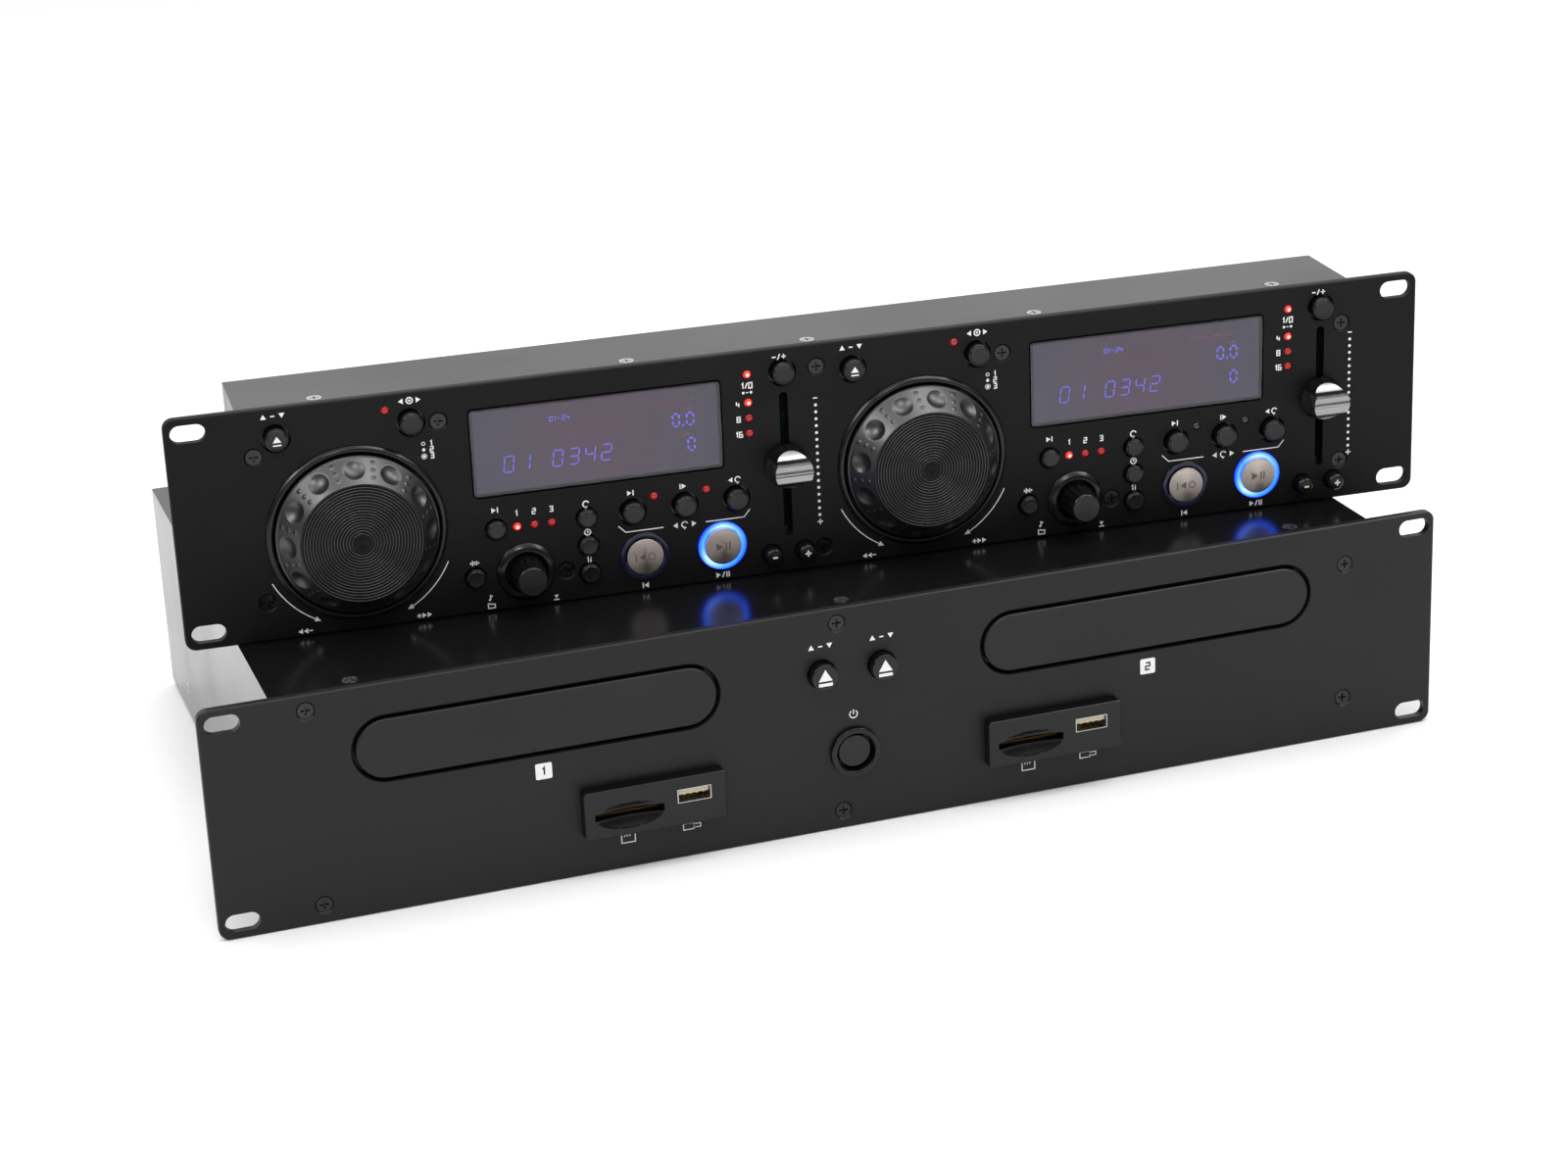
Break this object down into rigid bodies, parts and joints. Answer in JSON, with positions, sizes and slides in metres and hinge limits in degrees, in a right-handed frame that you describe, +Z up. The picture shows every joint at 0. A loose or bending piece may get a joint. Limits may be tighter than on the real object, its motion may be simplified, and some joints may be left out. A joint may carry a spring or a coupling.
{
  "type": "dual disc player",
  "caption": "Rack-mount dual disc player for a DJ: a control unit with jog wheels, faders and displays stands on a drive unit with sliding disc trays.",
  "frame": {"origin": "middle of the drive unit's footprint, on the surface it stands on", "axes": "+X to the user's right along the rack width, +Y from the front panel to the rear, +Z up"},
  "size_m": [0.4894, 0.2674, 0.1754],
  "materials": {
    "panel_black": "satin black enamel",
    "case_black": "black enamel",
    "screw_black": "black oxide",
    "board_green": "solder mask",
    "led_red": "clear red",
    "smoked_window": "smoked polycarbonate",
    "trim_black": "gloss black",
    "socket_black": "moulded",
    "loader_plastic": "moulded",
    "tray_plastic": "satin black",
    "turntable_grey": "moulded",
    "key_black": "satin",
    "key_steel": "spun face",
    "wheel_grey": "satin graphite",
    "knob_black": "satin",
    "shaft_steel": "bright",
    "fader_silver": "metallised grip on a black skirt"
  },
  "bodies": {
    "drive_unit": {"drive_chassis": "case_black", "drive_cover": "case_black", "drive_faceplate": "panel_black", "drive_screws": "screw_black", "front_bezels": "trim_black", "rear_sockets": "socket_black", "loader_frames": "loader_plastic", "drive_boards": "board_green"},
    "control_unit": {"control_housing": "case_black", "control_faceplate": "panel_black", "control_board": "board_green", "indicator_leds": "led_red", "display_windows": "smoked_window", "trim_rings": "trim_black", "control_screws": "screw_black"},
    "eject_button_1": {"eject_button_1": "key_black"},
    "jog_mode_button_1": {"jog_mode_button_1": "key_black"},
    "pitch_button_1": {"pitch_button_1": "key_black"},
    "source_button_1": {"source_button_1": "key_black"},
    "bpm_button_1": {"bpm_button_1": "key_black"},
    "repeat_button_1": {"repeat_button_1": "key_black"},
    "time_button_1": {"time_button_1": "key_black"},
    "single_button_1": {"single_button_1": "key_black"},
    "loop_in_button_1": {"loop_in_button_1": "key_black"},
    "loop_out_button_1": {"loop_out_button_1": "key_black"},
    "reloop_button_1": {"reloop_button_1": "key_black"},
    "minus_button_1": {"minus_button_1": "key_black"},
    "plus_button_1": {"plus_button_1": "key_black"},
    "cue_button_1": {"cue_button_1": "key_steel"},
    "play_button_1": {"play_button_1": "key_steel"},
    "jog_wheel_1": {"jog_wheel_1": "wheel_grey"},
    "encoder_shaft_1": {"encoder_shaft_1": "shaft_steel"},
    "track_knob_1": {"track_knob_1": "knob_black"},
    "pitch_fader_1": {"pitch_fader_1": "fader_silver"},
    "eject_button_2": {"eject_button_2": "key_black"},
    "jog_mode_button_2": {"jog_mode_button_2": "key_black"},
    "pitch_button_2": {"pitch_button_2": "key_black"},
    "source_button_2": {"source_button_2": "key_black"},
    "bpm_button_2": {"bpm_button_2": "key_black"},
    "repeat_button_2": {"repeat_button_2": "key_black"},
    "time_button_2": {"time_button_2": "key_black"},
    "single_button_2": {"single_button_2": "key_black"},
    "loop_in_button_2": {"loop_in_button_2": "key_black"},
    "loop_out_button_2": {"loop_out_button_2": "key_black"},
    "reloop_button_2": {"reloop_button_2": "key_black"},
    "minus_button_2": {"minus_button_2": "key_black"},
    "plus_button_2": {"plus_button_2": "key_black"},
    "cue_button_2": {"cue_button_2": "key_steel"},
    "play_button_2": {"play_button_2": "key_steel"},
    "jog_wheel_2": {"jog_wheel_2": "wheel_grey"},
    "encoder_shaft_2": {"encoder_shaft_2": "shaft_steel"},
    "track_knob_2": {"track_knob_2": "knob_black"},
    "pitch_fader_2": {"pitch_fader_2": "fader_silver"},
    "power_button": {"power_button": "key_black"},
    "drive_eject_button_1": {"drive_eject_button_1": "key_black"},
    "disc_tray_1": {"disc_tray_1": "tray_plastic"},
    "turntable_1": {"turntable_1": "turntable_grey"},
    "drive_eject_button_2": {"drive_eject_button_2": "key_black"},
    "disc_tray_2": {"disc_tray_2": "tray_plastic"},
    "turntable_2": {"turntable_2": "turntable_grey"}
  },
  "joints": [
    {"name": "control_unit_lift", "type": "slide", "parent": "drive_unit", "child": "control_unit", "axis": [0, 0, 1], "range_m": [0, 0.1]},
    {"name": "eject_button_1_press", "type": "slide", "parent": "control_unit", "child": "eject_button_1", "axis": [0.0645, 0.9979, 0], "range_m": [0, 0.0006], "stiffness_N_per_m": 600},
    {"name": "jog_mode_button_1_press", "type": "slide", "parent": "control_unit", "child": "jog_mode_button_1", "axis": [0.0645, 0.9979, 0], "range_m": [0, 0.0006], "stiffness_N_per_m": 600},
    {"name": "pitch_button_1_press", "type": "slide", "parent": "control_unit", "child": "pitch_button_1", "axis": [0.0645, 0.9979, 0], "range_m": [0, 0.0006], "stiffness_N_per_m": 600},
    {"name": "source_button_1_press", "type": "slide", "parent": "control_unit", "child": "source_button_1", "axis": [0.0645, 0.9979, 0], "range_m": [0, 0.0006], "stiffness_N_per_m": 600},
    {"name": "bpm_button_1_press", "type": "slide", "parent": "control_unit", "child": "bpm_button_1", "axis": [0.0645, 0.9979, 0], "range_m": [0, 0.0006], "stiffness_N_per_m": 600},
    {"name": "repeat_button_1_press", "type": "slide", "parent": "control_unit", "child": "repeat_button_1", "axis": [0.0645, 0.9979, 0], "range_m": [0, 0.0006], "stiffness_N_per_m": 600},
    {"name": "time_button_1_press", "type": "slide", "parent": "control_unit", "child": "time_button_1", "axis": [0.0645, 0.9979, 0], "range_m": [0, 0.0006], "stiffness_N_per_m": 600},
    {"name": "single_button_1_press", "type": "slide", "parent": "control_unit", "child": "single_button_1", "axis": [0.0645, 0.9979, 0], "range_m": [0, 0.0006], "stiffness_N_per_m": 600},
    {"name": "loop_in_button_1_press", "type": "slide", "parent": "control_unit", "child": "loop_in_button_1", "axis": [0.0645, 0.9979, 0], "range_m": [0, 0.0006], "stiffness_N_per_m": 600},
    {"name": "loop_out_button_1_press", "type": "slide", "parent": "control_unit", "child": "loop_out_button_1", "axis": [0.0645, 0.9979, 0], "range_m": [0, 0.0006], "stiffness_N_per_m": 600},
    {"name": "reloop_button_1_press", "type": "slide", "parent": "control_unit", "child": "reloop_button_1", "axis": [0.0645, 0.9979, 0], "range_m": [0, 0.0006], "stiffness_N_per_m": 600},
    {"name": "minus_button_1_press", "type": "slide", "parent": "control_unit", "child": "minus_button_1", "axis": [0.0645, 0.9979, 0], "range_m": [0, 0.0006], "stiffness_N_per_m": 600},
    {"name": "plus_button_1_press", "type": "slide", "parent": "control_unit", "child": "plus_button_1", "axis": [0.0645, 0.9979, 0], "range_m": [0, 0.0006], "stiffness_N_per_m": 600},
    {"name": "cue_button_1_press", "type": "slide", "parent": "control_unit", "child": "cue_button_1", "axis": [0.0645, 0.9979, 0], "range_m": [0, 0.0008], "stiffness_N_per_m": 800},
    {"name": "play_button_1_press", "type": "slide", "parent": "control_unit", "child": "play_button_1", "axis": [0.0645, 0.9979, 0], "range_m": [0, 0.0008], "stiffness_N_per_m": 800},
    {"name": "jog_wheel_1_turn", "type": "hinge", "parent": "control_unit", "child": "jog_wheel_1", "pos_m": [-0.16823, -0.06966, 0.12465], "axis": [-0.0645, -0.9979, 0], "continuous": true},
    {"name": "encoder_shaft_1_push", "type": "slide", "parent": "control_unit", "child": "encoder_shaft_1", "axis": [0.0645, 0.9979, 0], "range_m": [0, 0.0005], "stiffness_N_per_m": 900},
    {"name": "track_knob_1_turn", "type": "hinge", "parent": "encoder_shaft_1", "child": "track_knob_1", "pos_m": [-0.10736, -0.0736, 0.10125], "axis": [-0.0645, -0.9979, 0], "continuous": true},
    {"name": "pitch_fader_1_slide", "type": "slide", "parent": "control_unit", "child": "pitch_fader_1", "axis": [0, 0, -1], "range_m": [-0.023, 0.023]},
    {"name": "eject_button_2_press", "type": "slide", "parent": "control_unit", "child": "eject_button_2", "axis": [0.0645, 0.9979, 0], "range_m": [0, 0.0006], "stiffness_N_per_m": 600},
    {"name": "jog_mode_button_2_press", "type": "slide", "parent": "control_unit", "child": "jog_mode_button_2", "axis": [0.0645, 0.9979, 0], "range_m": [0, 0.0006], "stiffness_N_per_m": 600},
    {"name": "pitch_button_2_press", "type": "slide", "parent": "control_unit", "child": "pitch_button_2", "axis": [0.0645, 0.9979, 0], "range_m": [0, 0.0006], "stiffness_N_per_m": 600},
    {"name": "source_button_2_press", "type": "slide", "parent": "control_unit", "child": "source_button_2", "axis": [0.0645, 0.9979, 0], "range_m": [0, 0.0006], "stiffness_N_per_m": 600},
    {"name": "bpm_button_2_press", "type": "slide", "parent": "control_unit", "child": "bpm_button_2", "axis": [0.0645, 0.9979, 0], "range_m": [0, 0.0006], "stiffness_N_per_m": 600},
    {"name": "repeat_button_2_press", "type": "slide", "parent": "control_unit", "child": "repeat_button_2", "axis": [0.0645, 0.9979, 0], "range_m": [0, 0.0006], "stiffness_N_per_m": 600},
    {"name": "time_button_2_press", "type": "slide", "parent": "control_unit", "child": "time_button_2", "axis": [0.0645, 0.9979, 0], "range_m": [0, 0.0006], "stiffness_N_per_m": 600},
    {"name": "single_button_2_press", "type": "slide", "parent": "control_unit", "child": "single_button_2", "axis": [0.0645, 0.9979, 0], "range_m": [0, 0.0006], "stiffness_N_per_m": 600},
    {"name": "loop_in_button_2_press", "type": "slide", "parent": "control_unit", "child": "loop_in_button_2", "axis": [0.0645, 0.9979, 0], "range_m": [0, 0.0006], "stiffness_N_per_m": 600},
    {"name": "loop_out_button_2_press", "type": "slide", "parent": "control_unit", "child": "loop_out_button_2", "axis": [0.0645, 0.9979, 0], "range_m": [0, 0.0006], "stiffness_N_per_m": 600},
    {"name": "reloop_button_2_press", "type": "slide", "parent": "control_unit", "child": "reloop_button_2", "axis": [0.0645, 0.9979, 0], "range_m": [0, 0.0006], "stiffness_N_per_m": 600},
    {"name": "minus_button_2_press", "type": "slide", "parent": "control_unit", "child": "minus_button_2", "axis": [0.0645, 0.9979, 0], "range_m": [0, 0.0006], "stiffness_N_per_m": 600},
    {"name": "plus_button_2_press", "type": "slide", "parent": "control_unit", "child": "plus_button_2", "axis": [0.0645, 0.9979, 0], "range_m": [0, 0.0006], "stiffness_N_per_m": 600},
    {"name": "cue_button_2_press", "type": "slide", "parent": "control_unit", "child": "cue_button_2", "axis": [0.0645, 0.9979, 0], "range_m": [0, 0.0008], "stiffness_N_per_m": 800},
    {"name": "play_button_2_press", "type": "slide", "parent": "control_unit", "child": "play_button_2", "axis": [0.0645, 0.9979, 0], "range_m": [0, 0.0008], "stiffness_N_per_m": 800},
    {"name": "jog_wheel_2_turn", "type": "hinge", "parent": "control_unit", "child": "jog_wheel_2", "pos_m": [0.04652, -0.08355, 0.12465], "axis": [-0.0645, -0.9979, 0], "continuous": true},
    {"name": "encoder_shaft_2_push", "type": "slide", "parent": "control_unit", "child": "encoder_shaft_2", "axis": [0.0645, 0.9979, 0], "range_m": [0, 0.0005], "stiffness_N_per_m": 900},
    {"name": "track_knob_2_turn", "type": "hinge", "parent": "encoder_shaft_2", "child": "track_knob_2", "pos_m": [0.10739, -0.08749, 0.10125], "axis": [-0.0645, -0.9979, 0], "continuous": true},
    {"name": "pitch_fader_2_slide", "type": "slide", "parent": "control_unit", "child": "pitch_fader_2", "axis": [0, 0, -1], "range_m": [-0.023, 0.023]},
    {"name": "power_button_press", "type": "slide", "parent": "drive_unit", "child": "power_button", "axis": [0, 1, 0], "range_m": [0, 0.0015], "stiffness_N_per_m": 900},
    {"name": "drive_eject_button_1_press", "type": "slide", "parent": "drive_unit", "child": "drive_eject_button_1", "axis": [0, 1, 0], "range_m": [0, 0.0008], "stiffness_N_per_m": 700},
    {"name": "disc_tray_1_slide", "type": "slide", "parent": "drive_unit", "child": "disc_tray_1", "axis": [0, -1, 0], "range_m": [0, 0.138]},
    {"name": "turntable_1_spin", "type": "hinge", "parent": "drive_unit", "child": "turntable_1", "pos_m": [-0.1197, -0.059, 0.04435], "axis": [0, 0, 1], "continuous": true},
    {"name": "drive_eject_button_2_press", "type": "slide", "parent": "drive_unit", "child": "drive_eject_button_2", "axis": [0, 1, 0], "range_m": [0, 0.0008], "stiffness_N_per_m": 700},
    {"name": "disc_tray_2_slide", "type": "slide", "parent": "drive_unit", "child": "disc_tray_2", "axis": [0, -1, 0], "range_m": [0, 0.138]},
    {"name": "turntable_2_spin", "type": "hinge", "parent": "drive_unit", "child": "turntable_2", "pos_m": [0.1197, -0.059, 0.04435], "axis": [0, 0, 1], "continuous": true}
  ]
}
